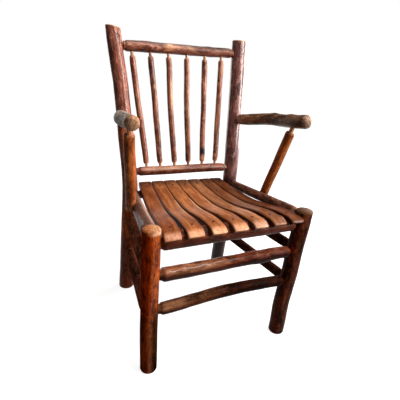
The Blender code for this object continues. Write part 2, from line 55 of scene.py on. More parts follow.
def seed_of(name):
    """A fixed place in noise space for each piece."""
    number = zlib.crc32(name.encode())
    return Vector((number % 97, number // 97 % 89, number // 8633 % 83)) * 1.37


def smooth(low, high, x):
    """0 below low, 1 above high and smooth between."""
    t = min(max((x - low) / (high - low), 0.0), 1.0)
    return t * t * (3 - 2 * t)


# Reading the CAD poles

LEAST_POINTS = 8  # of a ring that counts
WIDEST_GAP = 1.8  # radians between two neighbouring points of a whole ring
ROUND_ERROR = 0.0006  # a round ring's points lie this near its circle
LOOSE_ERROR = 0.0015  # the same while the axis is still rough
STEP_ERROR = 0.0004  # the errors of a ring on two circles differ by less than this
STRAY_ERROR = 0.0002  # points with a much larger error than usual are left out
AXIS_GAPS = (0.0012, 0.0003, 0.00005)  # between two rings while the axis gets better
RING_GAP = 0.00002  # and on the final axis
COPED_LENGTH = 0.01  # an end with no rings for this long is coped
STEEP = 0.7  # least upright share of a standing pole's direction
SHOULDER_SLOPE = 0.15  # a radius that drops faster than this ends the plain length
SHOULDER_STEP = 0.00005
LONG_SPAN = 0.02  # rings further apart than this are joined by a curve


def node_points(node):
    """A CAD node's corners, each once."""
    corners = [vertex.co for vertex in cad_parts[node].data.vertices]
    return np.unique(np.round(corners, 6), axis=0)


def ring_points(points, axis, gap):
    """Points of each ring across the axis, in order along it."""
    height = points @ axis
    order = np.argsort(height)
    cuts = np.nonzero(np.diff(height[order]) > gap)[0] + 1
    return [points[group] for group in np.split(order, cuts) if len(group) >= LEAST_POINTS]


def fit_circle(ring, axis):
    """Circle through a ring's points: centre, radius, the points' errors and the widest gap."""
    side = np.cross(axis, (1.0, 0, 0) if abs(axis[2]) > 0.9 else (0, 0, 1.0))
    side /= np.linalg.norm(side)
    other = np.cross(axis, side)
    mean = ring.mean(0)
    x, y = (ring - mean) @ side, (ring - mean) @ other
    rows = np.column_stack([2 * x, 2 * y, np.ones_like(x)])
    solved = np.linalg.lstsq(rows, x * x + y * y, rcond=None)[0]
    radius = math.sqrt(solved[2] + solved[0] ** 2 + solved[1] ** 2)
    error = np.abs(np.hypot(x - solved[0], y - solved[1]) - radius)
    turns = np.sort(np.arctan2(y - solved[1], x - solved[0]))
    widest = np.diff(turns, append=turns[0] + 2 * math.pi).max()
    return mean + solved[0] * side + solved[1] * other, radius, error, widest


def ring_stations(ring, axis):
    """Centre and radii of a ring. A square step in the pole has two radii at one place."""
    centre, radius, error, widest = fit_circle(ring, axis)
    if widest > WIDEST_GAP:
        return []
    if error.max() < ROUND_ERROR:
        return [(centre, radius)]
    if len(ring) % 2 == 0 and error.max() - error.min() < STEP_ERROR:
        return [(centre, radius - error.mean()), (centre, radius + error.mean())]
    kept = ring[error < np.median(error) * 2 + STRAY_ERROR]
    if len(kept) >= LEAST_POINTS:
        centre, radius, error, widest = fit_circle(kept, axis)
        if error.max() < ROUND_ERROR and widest < WIDEST_GAP:
            return [(centre, radius)]
    return []


def pole_axis(points):
    """Direction through the centres of a pole's rings, pointing up, to the right or to the front."""
    axis = np.linalg.svd(points - points.mean(0), full_matrices=False)[2][0]
    for gap in AXIS_GAPS:
        fits = [fit_circle(ring, axis) for ring in ring_points(points, axis, gap)]
        good = [fit[0] for fit in fits if fit[2].max() < LOOSE_ERROR and fit[3] < WIDEST_GAP]
        axis = good[-1] - good[0]
        axis /= np.linalg.norm(axis)
    forward = 2 if abs(axis[2]) > STEEP else 0 if abs(axis[0]) > abs(axis[1]) else 1
    if axis[forward] * (-1 if forward == 1 else 1) < 0:
        axis = -axis
    return axis


class Spine:
    """A pole's centre line and radius, read from its CAD node."""

    def __init__(self, node):
        points = node_points(node)
        axis = np.array((0, 0, 1.0)) if node.endswith("_post") else pole_axis(points)
        stations = []
        for ring in ring_points(points, axis, RING_GAP):
            stations += ring_stations(ring, axis)
        heights = points @ axis
        places = [float(centre @ axis) for centre, _ in stations]
        # A coped end has no whole ring, so the plain length runs on to it.
        if places[0] - heights.min() > COPED_LENGTH:
            centre, radius = stations[0]
            stations.insert(0, (centre + axis * (heights.min() - places[0]), radius))
        if heights.max() - places[-1] > COPED_LENGTH:
            centre, radius = stations[-1]
            stations.append((centre + axis * (heights.max() - places[-1]), radius))
        base = stations[0][0] @ axis
        self.s = [float(centre @ axis - base) for centre, _ in stations]
        self.centres = [Vector(centre) for centre, _ in stations]
        self.radii = [radius for _, radius in stations]
        # A neck is wider than its tenon, so where two radii share a place the order follows the pole.
        for k in range(len(self.s) - 1):
            if abs(self.s[k] - self.s[k + 1]) < TINY:
                outward = self.s[k] < self.s[-1] / 2
                low, high = sorted(self.radii[k : k + 2])
                self.radii[k], self.radii[k + 1] = (low, high) if outward else (high, low)
        self.axis = Vector(axis)
        self.length = self.s[-1]
        reference = FRONT if abs(self.axis.z) > STEEP else UP
        self.zero = (reference - self.axis * reference.dot(self.axis)).normalized()
        self.quarter = self.axis.cross(self.zero)
        middle = len(self.s) // 2
        self.body = self.shoulder(range(middle, -1, -1)), self.shoulder(range(middle, len(self.s)))

    def shoulder(self, order):
        """Place where the plain length ends, outward from the middle: the radius drops fast there."""
        order = list(order)
        for here, there in zip(order, order[1:]):
            run = abs(self.s[there] - self.s[here])
            if self.radii[here] - self.radii[there] > SHOULDER_SLOPE * run + SHOULDER_STEP:
                return self.s[here]
        return self.s[order[-1]]

    def outside(self, point):
        """The point itself, or the nearest place on the pole's face if it lies inside the pole."""
        share = (point - self.centres[0]).dot(self.axis)
        k = min(max(sum(s <= share for s in self.s) - 1, 0), len(self.s) - 2)
        t = (share - self.s[k]) / max(self.s[k + 1] - self.s[k], TINY)
        centre = self.centres[k].lerp(self.centres[k + 1], t)
        radius = self.radii[k] + (self.radii[k + 1] - self.radii[k]) * t
        away = point - centre
        return centre + away * max(radius / away.length, 1.0)

    def samples(self, step):
        """Place, centre and radius at every CAD ring and at even steps between them."""
        found = []
        last = len(self.s) - 1
        for k in range(last):
            span = self.s[k + 1] - self.s[k]
            count = max(1, round(span / step))
            before = self.centres[max(k - 1, 0)]
            after = self.centres[min(k + 2, last)]
            start, end = self.centres[k], self.centres[k + 1]
            run_in = max(self.s[k + 1] - self.s[max(k - 1, 0)], TINY)
            run_out = max(self.s[min(k + 2, last)] - self.s[k], TINY)
            tangent_in = (end - before) / run_in * span
            tangent_out = (after - start) / run_out * span
            for j in range(count):
                t = j / count
                if span > LONG_SPAN:
                    centre = hermite(start, end, tangent_in, tangent_out, t)
                else:
                    centre = start.lerp(end, t)
                radius = self.radii[k] + (self.radii[k + 1] - self.radii[k]) * t
                found.append((self.s[k] + span * t, centre, radius))
        found.append((self.s[-1], self.centres[-1], self.radii[-1]))
        return found


def hermite(start, end, tangent_in, tangent_out, t):
    """Point at t on the smooth curve between two places with given directions."""
    t2, t3 = t * t, t * t * t
    return (
        start * (2 * t3 - 3 * t2 + 1)
        + tangent_in * (t3 - 2 * t2 + t)
        + end * (3 * t2 - 2 * t3)
        + tangent_out * (t3 - t2)
    )


# Making pieces

SHARP_EDGE = math.radians(50)


def make_piece(node, material, vertices, faces, grain, paint, tint):
    """A smooth mesh in place of a CAD node, with grain coordinates, paint masks, tint and varnish."""
    name = node + "_natural"
    mesh = bpy.data.meshes.new(name)
    mesh.from_pydata(vertices, [], faces)
    mesh.shade_smooth()
    mesh.set_sharp_from_angle(angle=SHARP_EDGE)
    for label, kind, field, rows in (
        ("grain", "FLOAT_VECTOR", "vector", grain),
        ("paint", "FLOAT_COLOR", "color", paint),
        ("tint", "FLOAT_COLOR", "color", tint),
    ):
        layer = mesh.attributes.new(label, kind, "POINT")
        layer.data.foreach_set(field, [number for row in rows for number in row])
    mesh.materials.append(material)
    piece = bpy.data.objects.new(name, mesh)
    bpy.context.scene.collection.objects.link(piece)
    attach(piece, "root")
    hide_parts(node)


def grid_faces(rows, columns):
    """Quads of a closed tube and its two end caps."""
    faces = []
    for i in range(rows - 1):
        low, high = i * columns, (i + 1) * columns
        for j in range(columns):
            n = (j + 1) % columns
            faces.append((low + j, low + n, high + n, high + j))
    faces.append(tuple(reversed(range(columns))))
    faces.append(tuple((rows - 1) * columns + j for j in range(columns)))
    return faces


class Knot:
    """A swelling on a pole: share of its length, turn round it, height, size and colours."""

    def __init__(self, share, turn, height, size, wear_and_sheen=0.0, dark=0.0, tint=None):
        self.share = share
        self.turn = math.radians(turn)
        self.height = height
        self.size = size
        self.masks = (wear_and_sheen, dark, 0.0, 0.0)
        self.tint = tint

    def weight(self, s, length, turn, radius):
        across = math.remainder(turn - self.turn, 2 * math.pi) * radius
        along = s - self.share * length
        return math.exp(-(across * across * 1.3 + along * along) / (2 * self.size * self.size))


class Bow:
    """A gentle bend along X or Z between two shares of a pole's length."""

    def __init__(self, low, high, x=0.0, z=0.0):
        self.low = low
        self.high = high
        self.reach = Vector((x, 0.0, z))

    def offset(self, share):
        t = min(max((share - self.low) / (self.high - self.low), 0.0), 1.0)
        return self.reach * math.sin(math.pi * t) ** 2


# Shares of the length just outside a pole's ends, for patches that cover them
START = -0.1
END = 1.1


class Patch:
    """A coloured stretch of a pole between two shares of its length, on one side or all round.

    A fourth number in its tint thins the varnish there.
    """

    height = 0.0

    def __init__(
        self, low, high, turn=None, spread=90, wear_and_sheen=0.0, dark=0.0, end=0.0, bark=0.0, tint=None, edge=0.015
    ):
        self.low = low
        self.high = high
        self.turn = None if turn is None else math.radians(turn)
        self.spread = math.radians(spread)
        self.masks = (wear_and_sheen, dark, end, bark)
        self.tint = tint
        self.edge = edge

    def weight(self, s, length, turn, radius):
        share = smooth(self.low * length - self.edge, self.low * length + self.edge, s)
        share *= 1 - smooth(self.high * length - self.edge, self.high * length + self.edge, s)
        if self.turn is not None:
            away = abs(math.remainder(turn - self.turn, 2 * math.pi))
            share *= 1 - smooth(self.spread * 0.6, self.spread, away)
        return share


POLE_STEP = 0.004  # between two rings of points
RIDGES = 0.006  # height of the long ridges, as a share of the radius
FADE_IN = 0.02  # unevenness fades out over this length before a shoulder
FADE_OUT = 0.002  # and ends this far past it
FOOT_FADE = 0.012  # the same above a post's foot
EDGE_IN = 0.003  # colour of a neck or a sawn end starts this far before the shoulder
NECK_OUT = 0.004
TIP_OUT = 0.002
SLANT_LENGTH = 0.03  # of a slanted top
SLANT_FLAT = 0.004


def pole(
    node, material, sides=32, wobble=0.0012, swell=0.035, lumps=0.016, neck_wear=0.15,
    knots=(), patches=(), bows=(), lean=(0.0, 0.0), tip_slant=None, coped_to=None,
    oval=(0, 0.0), thin=0.0, girth=1.0,
):
    """Replaces a CAD pole by a natural one along the same line: not quite straight and not quite round."""
    spine = Spine(node)
    rail = Spine(coped_to) if coped_to else None
    seed = seed_of(node)
    low, high = spine.body
    free_low = node.endswith("_post")
    free_high = free_low or node.endswith("_arm")
    vertices, grain, paint, tint = [], [], [], []
    samples = spine.samples(POLE_STEP)
    for s, centre, radius in samples:
        tip = neck = 0.0
        if free_low:
            fade = smooth(0.0, FOOT_FADE, s)
        else:
            fade = smooth(low - FADE_OUT, low + FADE_IN, s)
            neck = 1 - smooth(low - NECK_OUT, low + EDGE_IN, s)
        if free_high:
            tip = smooth(high - EDGE_IN, high + TIP_OUT, s)
        else:
            fade *= 1 - smooth(high - FADE_IN, high + FADE_OUT, s)
            neck = max(neck, smooth(high - EDGE_IN, high + NECK_OUT, s))
        bend = noise.noise_vector(Vector((0, 0, s * 9)) + seed) * wobble * fade
        middle = centre + bend - spine.axis * bend.dot(spine.axis)
        for bow in bows:
            middle = middle + bow.offset(s / spine.length)
        middle = middle + Vector((lean[0] + (lean[1] - lean[0]) * s / spine.length, 0, 0))
        stout = 1 + (girth - 1) * fade - thin * smooth(0.5, 0.9, s / spine.length)
        for k in range(sides):
            turn = 2 * math.pi * k / sides
            x, y = math.cos(turn), math.sin(turn)
            broad = noise.noise(Vector((x * 0.7, y * 0.7, s * 11)) + seed)
            fine = noise.noise(Vector((x * 1.6, y * 1.6, s * 34)) + seed * 1.7)
            ridge = noise.noise(Vector((x * 5.0, y * 5.0, s * 16)) + seed * 2.3)
            change = fade * (swell * broad + lumps * fine + RIDGES * ridge)
            lift = fade * oval[1] * max(math.cos(turn - math.radians(oval[0])), 0.0) ** 2
            masks = [neck_wear * neck, 0.0, tip, 0.0]
            shade = [1.0, 1.0, 1.0, 1.0]
            for mark in (*knots, *patches):
                weight = mark.weight(s, spine.length, turn, radius)
                lift += mark.height * weight * fade
                masks = [max(mask, own * weight) for mask, own in zip(masks, mark.masks)]
                if mark.tint:
                    changed = [old * (1 + (new - 1) * weight) for old, new in zip(shade, mark.tint)]
                    shade[: len(changed)] = changed
            reach = radius * (stout + change) + lift
            point = middle + (spine.zero * x + spine.quarter * y) * reach
            if tip_slant and s > spine.length - SLANT_LENGTH:
                share = smooth(spine.length - SLANT_LENGTH, spine.length - SLANT_FLAT, s)
                point += spine.axis * (Vector(tip_slant).dot(point - middle) * share)
            vertices.append(rail.outside(point) if rail else point)
            grain.append(Vector((x * reach, y * reach, s)) + seed)
            paint.append(masks)
            tint.append(shade)
    faces = grid_faces(len(samples), sides)
    make_piece(node, material, vertices, faces, grain, paint, tint)


# Slats, with the curve and the sizes that the CAD ones have

SLATS = 7
SLAT_REAR_WIDTH = 0.0455
SLAT_MIDDLE_WIDTH = 0.0485
SLAT_FRONT_WIDTH = 0.044
SLAT_THICKNESS = 0.0155
SLAT_REAR_END = 0.203
SEAT_DIP_Z = 0.420
SEAT_CREST_Z = 0.441
SEAT_CREST_REACH = 0.185
SEAT_REAR_RISE = 0.0175
FRONT_REACH = 0.207
ROLL_R = 0.040
ROLL_ANGLE = math.radians(46)

SLAT_STEP = 0.0045  # between two rows of points
SLAT_UPPER_ROUND = 0.0036  # edges worn round above
SLAT_LOWER_ROUND = 0.0015  # and eased below
SLAT_UPPER_PART = -0.006  # down to here a slat's points belong to its upper side
SLAT_FACE_EDGE = -0.0034  # and below here they get the painted shade of its sides and underside
SLAT_RIPPLE = 0.0005  # unevenness of a slat's line, edges and faces
SLAT_CROWN = 0.0006  # the upper face falls this much to its edges
SLAT_BELLY = 0.0075  # the underside is this much deeper between the rails
SLAT_END_DROP = 0.0016  # the upper face's worn ends
END_CORNERS = 0.0002  # corners this near an end belong to it
NOTCH_GAP = 0.0015  # between the right slat and the post that it is notched round
FULLER_SLATS = (1, 2)  # fuller at the right of their fronts
FULLER = 0.002
# Painted highlight: how much lighter a slat's right rounded edge is painted.
EDGE_HIGHLIGHT_TINT = (1.2, 3.0, 5.5)


def slat_top(y):
    """Height of the slats' upper face at y, up to the front crest."""
    if y >= 0:
        return SEAT_DIP_Z + SEAT_REAR_RISE * (y / SLAT_REAR_END) ** 2
    share = min(-y / SEAT_CREST_REACH, 1.0)
    return SEAT_DIP_Z + (SEAT_CREST_Z - SEAT_DIP_Z) * (1 - math.cos(math.pi * share)) / 2


def slat_path(longer):
    """Side view of the slats' upper face from rear to front: y, z and the square direction."""
    places = []
    rear = SLAT_REAR_END + longer
    count = round((rear + FRONT_REACH) / SLAT_STEP)
    for k in range(count):
        y = rear - (rear + FRONT_REACH) * k / count
        slope = (slat_top(y + 0.0005) - slat_top(y - 0.0005)) / 0.001
        places.append((y, slat_top(y), Vector((0, -slope, 1)).normalized()))
    count = round(ROLL_R * ROLL_ANGLE / SLAT_STEP)
    for k in range(count + 1):
        angle = ROLL_ANGLE * k / count
        square = Vector((0, -math.sin(angle), math.cos(angle)))
        y = -FRONT_REACH + ROLL_R * square.y
        places.append((y, SEAT_CREST_Z - ROLL_R + ROLL_R * square.z, square))
    return places


def slat_half_width(y):
    """Half of a slat's width at y: widest at the lowest line of the seat."""
    if y >= 0:
        end, share = SLAT_REAR_WIDTH, y / SLAT_REAR_END
    else:
        end, share = SLAT_FRONT_WIDTH, -y / (FRONT_REACH + ROLL_R * math.sin(ROLL_ANGLE))
    return (SLAT_MIDDLE_WIDTH + (end - SLAT_MIDDLE_WIDTH) * share * share) / 2


def slat_section(half):
    """Outline of a slat, right edge first: worn round above and eased below."""
    upper, lower = SLAT_UPPER_ROUND, SLAT_LOWER_ROUND
    outline = []
    for x, z, radius, start in (
        (half - lower, lower - SLAT_THICKNESS, lower, -90),
        (half - upper, -upper, upper, 0),
        (upper - half, -upper, upper, 90),
        (lower - half, lower - SLAT_THICKNESS, lower, 180),
    ):
        for k in range(6):
            angle = math.radians(start + 90 * k / 5)
            outline.append((x + radius * math.cos(angle), z + radius * math.sin(angle)))
        if start == 0:
            outline += [((half - upper) * (1 - k / 5), 0.0) for k in range(1, 10)]
        if start == 180:
            outline += [((lower - half) * (1 - k / 3), -SLAT_THICKNESS) for k in range(1, 6)]
    return outline


def post_at_seat():
    """Centre of the right front post at the seat's crest, and the post's largest radius."""
    post = Spine("right_front_post")
    share = (SEAT_CREST_Z - post.centres[0].z) / post.length
    return post.centres[0].lerp(post.centres[-1], share), max(post.radii)


def slat(number, material, shade, varnish, edge_highlight, aside, longer):
    """Replaces a CAD slat by a worn one on its curve, the front a little aside and the rear longer."""
    node = f"seat_slat_{number}"
    seed = seed_of(node)
    corners = [vertex.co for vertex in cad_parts[node].data.vertices]
    low_y, high_y = min(c.y for c in corners), max(c.y for c in corners)
    front = [c.x for c in corners if c.y < low_y + END_CORNERS]
    rear = [c.x for c in corners if c.y > high_y - END_CORNERS]
    front_x = (min(front) + max(front)) / 2
    rear_x = (min(rear) + max(rear)) / 2
    places = slat_path(longer)
    front_y = places[-1][0]
    shift_y = low_y - front_y
    centre, radius = post_at_seat()
    notch = radius + NOTCH_GAP if number == SLATS else 0.0

    rows = []
    run = 0.0
    for k, (y, z, square) in enumerate(places):
        if k:
            run += math.hypot(y - places[k - 1][0], z - places[k - 1][1])
        rows.append((run, y, z, square))
    total = run
    vertices, grain, paint, tint = [], [], [], []
    for run, y, z, square in rows:
        half = slat_half_width(y)
        x = rear_x + (front_x - rear_x) * (SLAT_REAR_END - y) / (SLAT_REAR_END - front_y)
        x += noise.noise(Vector((0.3, 0.7, run * 7)) + seed) * SLAT_RIPPLE + aside * smooth(-0.05, 0.20, -y)
        ends = smooth(total - 0.005, total, run) + 1 - smooth(0, 0.004, run)
        right = half
        away = y + shift_y - centre.y
        if abs(away) < notch:
            right = min(half, centre.x - math.sqrt(notch * notch - away * away) - x)
        # The rolled front end: worn bare, and painted lighter as painted light where the lamps fall on the
        # roll.
        worn_and_lit_front = smooth(total - 0.034, total - 0.006, run) * varnish
        # Darker towards the rear end.
        darker_rear = 1 - smooth(0.0, 0.06, run)
        fuller = FULLER * smooth(0.11, 0.15, -y) if number in FULLER_SLATS else 0.0
        belly = SLAT_BELLY * smooth(-0.02, 0.05, -y) * (1 - smooth(0.160, 0.176, -y))
        highlight_stretch = smooth(-0.09, -0.05, y) * (1 - smooth(0.03, 0.055, y))
        for u, v in slat_section(half):
            edge = noise.noise(Vector((math.copysign(2.0, u), v * 60, run * 26)) + seed) * SLAT_RIPPLE
            wave = noise.noise(Vector((u * 30, 0.5, run * 9)) + seed) * SLAT_RIPPLE
            across = u * (1 - 0.04 * ends) + math.copysign(edge, u) * smooth(0.6 * half, half, abs(u))
            if u > 0:
                across *= right / half
                across += fuller * smooth(0.5 * half, half, u)
            if v > SLAT_UPPER_PART:
                above = v + wave - SLAT_END_DROP * ends - SLAT_CROWN * (u / half) ** 2
            else:
                v -= belly
                above = v + wave
            vertices.append(Vector((x + across, y + shift_y, z)) + square * above)
            grain.append(Vector((u, v, run)) + seed)
            rim = smooth(0.70 * half, 0.98 * half, abs(u))
            # The sides and underside get painted shade and no varnish.
            underside_shade = 1.0 if v < SLAT_FACE_EDGE else 0.0
            paint.append((worn_and_lit_front, underside_shade, rim, darker_rear))
            gloss = max(0.28 + 0.42 * varnish, worn_and_lit_front, rim * smooth(0.05, 0.12, -y) * varnish)
            # A painted highlight along the right rounded edge, over the stretch by the seat's dip.
            painted_highlight = edge_highlight * smooth(0.66 * half, 0.86 * half, u) * (1 - underside_shade)
            painted_highlight *= highlight_stretch
            colour = [c * (1 + painted_highlight * more) for c, more in zip(shade, EDGE_HIGHLIGHT_TINT)]
            tint.append([*colour, gloss * (1 - underside_shade)])
    faces = grid_faces(len(rows), len(vertices) // len(rows))
    make_piece(node, material, vertices, faces, grain, paint, tint)


# Nails, by heights from the top of the head with the radius there

NAIL_SIDES = 20
NAIL_TIP = 0.0004
NAIL_POINT = 0.005
NAIL_SHANK = 0.0013
NAIL_HEAD = (
    (-0.0013, 0.0034), (-0.0009, 0.0039), (-0.0004, 0.0036),
    (-0.0001, 0.0027), (0.0, 0.0015), (0.00005, 0.0005),
)


def nail(node, material):
    """Replaces a CAD nail by one with a hammered head."""
    points = node_points(node)
    axis = np.linalg.svd(points - points.mean(0), full_matrices=False)[2][0]
    heights = points @ axis
    near = points[heights > heights.max() - 0.002]
    far = points[heights < heights.min() + 0.002]

    def girth(group):
        return np.linalg.norm(group - group.mean(0), axis=1).max()

    if girth(near) < girth(far):
        axis = -axis
    heights = points @ axis
    top, bottom = heights.max(), heights.min()
    centre = Vector(points[heights > top - 0.0001].mean(0))
    turn = Vector(axis).to_track_quat("Z", "Y").to_matrix()
    seed = seed_of(node)
    profile = [(bottom - top, NAIL_TIP), (bottom - top + NAIL_POINT, NAIL_SHANK), (-0.0014, NAIL_SHANK)]
    profile += NAIL_HEAD
    vertices, grain = [], []
    for height, radius in profile:
        for k in range(NAIL_SIDES):
            angle = 2 * math.pi * k / NAIL_SIDES
            x, y = math.cos(angle), math.sin(angle)
            dent = noise.noise(Vector((x * 1.4, y * 1.4, radius * 500)) + seed)
            reach = radius * (1 + 0.06 * dent)
            lift = height + (0.00015 * dent if height > -0.001 else 0.0)
            point = Vector((x * reach, y * reach, lift))
            vertices.append(centre + turn @ point)
            grain.append(point + seed)
    paint = [(0.0, 0.0, 0.0, 0.0)] * len(vertices)
    tint = [(1.0, 1.0, 1.0, 1.0)] * len(vertices)
    faces = grid_faces(len(profile), NAIL_SIDES)
    make_piece(node, material, vertices, faces, grain, paint, tint)


# Materials

FLECK = (0.008, 0.005, 0.004)
DARK_MARK_AND_SHADE = (0.012, 0.008, 0.007)
BARK_DARK = (0.065, 0.049, 0.038)
BARK_PALE = (0.37, 0.305, 0.255)
BARE_AND_SHEEN_PALE = (0.56, 0.29, 0.15)
BARE_AND_SHEEN_DARK = (0.36, 0.15, 0.07)
BOARD_DARK = (0.215, 0.066, 0.021)
BOARD_LIGHT = (0.43, 0.165, 0.058)
BOARD_LINE = (0.14, 0.040, 0.013)
BOARD_DASH = (0.10, 0.030, 0.012)
BOARD_PORE = (0.085, 0.025, 0.010)
BOARD_BARE_AND_LIT = (0.80, 0.425, 0.245)
BOARD_REAR_DARK = (0.105, 0.045, 0.024)
BOARD_RIM = (0.13, 0.038, 0.014)
BOARD_UNDERSIDE_SHADE = (0.055, 0.020, 0.010)
IRON = (0.010, 0.008, 0.007)
RUST = (0.032, 0.016, 0.010)


def scaled(colour, share):
    return tuple(share * c for c in colour)


class Graph:
    """The node tree of a material or world, built by short calls that return sockets."""

    def __init__(self, owner):
        owner.use_nodes = True
        self.owner = owner
        self.tree = owner.node_tree

    def put(self, socket, value):
        if isinstance(value, bpy.types.NodeSocket):
            self.tree.links.new(value, socket)
        elif hasattr(value, "__len__") and len(value) == 3 and socket.type == "RGBA":
            socket.default_value = (*value, 1.0)
        else:
            socket.default_value = value

    def node(self, kind, **inputs):
        made = self.tree.nodes.new(kind)
        for name, value in inputs.items():
            self.put(made.inputs[name.replace("_", " ")], value)
        return made

    def attribute(self, name):
        made = self.node("ShaderNodeAttribute")
        made.attribute_name = name
        return made

    def masks(self):
        """The four paint masks of a piece."""
        paint = self.attribute("paint")
        parts = self.node("ShaderNodeSeparateColor", Color=paint.outputs["Color"]).outputs
        return parts["Red"], parts["Green"], parts["Blue"], paint.outputs["Alpha"]

    def stretched(self, vector, scale):
        return self.node("ShaderNodeMapping", Vector=vector, Scale=scale).outputs["Vector"]

    def noise(self, vector, scale, detail, roughness, distortion=0.0):
        made = self.node("ShaderNodeTexNoise", Vector=vector, Scale=scale, Detail=detail, Roughness=roughness)
        self.put(made.inputs["Distortion"], distortion)
        return made.outputs["Fac"]

    def range(self, value, low, high, to_low=0.0, to_high=1.0):
        """to_low up to low, to_high from high on and smooth between."""
        made = self.node("ShaderNodeMapRange", Value=value, From_Min=low, From_Max=high)
        made.interpolation_type = "SMOOTHSTEP"
        self.put(made.inputs["To Min"], to_low)
        self.put(made.inputs["To Max"], to_high)
        return made.outputs["Result"]

    def math(self, operation, *values):
        made = self.node("ShaderNodeMath")
        made.operation = operation
        for socket, value in zip(made.inputs, values):
            self.put(socket, value)
        return made.outputs["Value"]

    def plus(self, a, b):
        return self.math("ADD", a, b)

    def times(self, a, b):
        return self.math("MULTIPLY", a, b)

    def dot(self, vector, direction):
        made = self.node("ShaderNodeVectorMath")
        made.operation = "DOT_PRODUCT"
        self.put(made.inputs[0], vector)
        self.put(made.inputs[1], direction)
        return made.outputs["Value"]

    def mix(self, share, a, b, blend="MIX"):
        made = self.node("ShaderNodeMix")
        made.data_type = "RGBA"
        made.blend_type = blend
        made.clamp_factor = True
        self.put(made.inputs[0], share)
        self.put(made.inputs[6], a)
        self.put(made.inputs[7], b)
        return made.outputs[2]

    def bump(self, height, distance, strength, normal=None):
        made = self.node("ShaderNodeBump", Height=height, Distance=distance, Strength=strength)
        if normal is not None:
            self.put(made.inputs["Normal"], normal)
        return made.outputs["Normal"]

    def white_rays(self):
        """1 for camera rays, and 1 for those and rays from gloss or glass; 0 for light on the object."""
        path = self.node("ShaderNodeLightPath").outputs
        others = self.plus(path["Is Glossy Ray"], path["Is Transmission Ray"])
        total = self.plus(path["Is Camera Ray"], others)
        return path["Is Camera Ray"], self.math("MINIMUM", total, 1.0)

    def finish(self, **inputs):
        """Sets the surface shader's inputs and gives the material."""
        shader = self.tree.nodes["Principled BSDF"]
        for name, value in inputs.items():
            self.put(shader.inputs[name.replace("_", " ")], value)
        return self.owner


def wood_pole(
    name, dark, mid, light, flecks=0.4, gloss=0.34, specular=0.3, mottle=0.5,
    end=(0.42, 0.19, 0.08), coat=0.0, relief=0.7,
):
    """Varnished pole: mottled inner bark, long grain, short dark flecks, worn places and painted highlights,
    dark marks and painted shade, bark and sawn ends.
    """
    g = Graph(bpy.data.materials.new(name))
    grain = g.attribute("grain").outputs["Vector"]
    wear_and_sheen, dark_mark_and_shade, sawn, bark = g.masks()

    broad = g.noise(g.stretched(grain, (1, 1, 0.3)), 38.0, 4.0, 0.6, 0.5)
    blotch = g.noise(g.stretched(grain, (1, 1, 0.5)), 90.0, 3.0, 0.65, 0.8)
    streak = g.noise(g.stretched(grain, (1, 1, 0.08)), 260.0, 3.0, 0.6)
    fibre = g.noise(g.stretched(grain, (1, 1, 0.035)), 1100.0, 2.0, 0.5)
    speck = g.noise(g.stretched(grain, (1, 1, 0.25)), 430.0, 2.0, 0.6)
    ragged = g.noise(grain, 150.0, 4.0, 0.7)

    colour = g.mix(g.range(broad, 0.36, 0.62), dark, mid)
    colour = g.mix(g.range(blotch, 0.48, 0.70, 0.0, 0.85), colour, light)
    colour = g.mix(g.range(streak, 0.50, 0.63, 0.0, 0.62), colour, scaled(dark, 0.35))
    colour = g.mix(g.range(g.plus(broad, blotch), 1.02, 0.80, 0.0, mottle), colour, scaled(dark, 0.25))
    colour = g.mix(g.range(fibre, 0.5, 0.75, 0.0, 0.2), colour, scaled(light, 1.2))
    colour = g.mix(g.range(speck, 0.56, 0.63, 0.0, flecks), colour, FLECK)

    scales = g.noise(g.stretched(grain, (1, 1, 0.6)), 150.0, 4.0, 0.7, 0.4)
    bark_colour = g.mix(g.range(scales, 0.37, 0.53), BARK_DARK, BARK_PALE)
    colour = g.mix(g.times(bark, g.range(ragged, 0.28, 0.5, 0.35, 1.0)), colour, bark_colour)

    # Worn bare places; the same mask also lays painted highlights.
    bare_and_sheen = g.mix(g.range(streak, 0.35, 0.7), BARE_AND_SHEEN_PALE, BARE_AND_SHEEN_DARK)
    colour = g.mix(g.times(wear_and_sheen, g.range(ragged, 0.3, 0.55, 0.3, 1.0)), colour, bare_and_sheen)
    # Dark marks; the same mask also lays painted shade on shaded lower parts.
    deep = g.range(g.plus(dark_mark_and_shade, g.times(ragged, 0.6)), 0.60, 0.95)
    colour = g.mix(g.times(deep, g.range(dark_mark_and_shade, 0.02, 0.3)), colour, DARK_MARK_AND_SHADE)

    cracks = g.noise(g.stretched(grain, (1, 1, 0.2)), 200.0, 4.0, 0.65)
    end_colour = g.mix(g.range(cracks, 0.36, 0.64), end, scaled(end, 0.45))
    colour = g.mix(g.range(g.plus(sawn, g.times(ragged, 0.5)), 0.5, 0.78), colour, end_colour)
    tint = g.attribute("tint")
    colour = g.mix(1.0, colour, tint.outputs["Color"], "MULTIPLY")

    height = g.plus(g.times(streak, 0.5), blotch)
    height = g.plus(height, g.times(speck, -0.35))
    normal = g.bump(fibre, 0.0003, 0.3, g.bump(height, 0.0016, relief))
    shine = g.plus(blotch, g.times(streak, 0.4))
    roughness = g.range(shine, 0.4, 0.95, gloss - 0.07, gloss + 0.16)
    varnish = 0.0
    if coat:
        varnish = g.times(tint.outputs["Alpha"], g.range(ragged, 0.35, 0.6, coat, 0.6 * coat))
    ripple = g.bump(g.plus(broad, g.times(blotch, 0.5)), 0.0016, 0.6)
    return g.finish(
        Base_Color=colour, Roughness=roughness, Normal=normal, Specular_IOR_Level=specular,
        Coat_Weight=varnish, Coat_Roughness=0.20, Coat_Normal=ripple,
    )


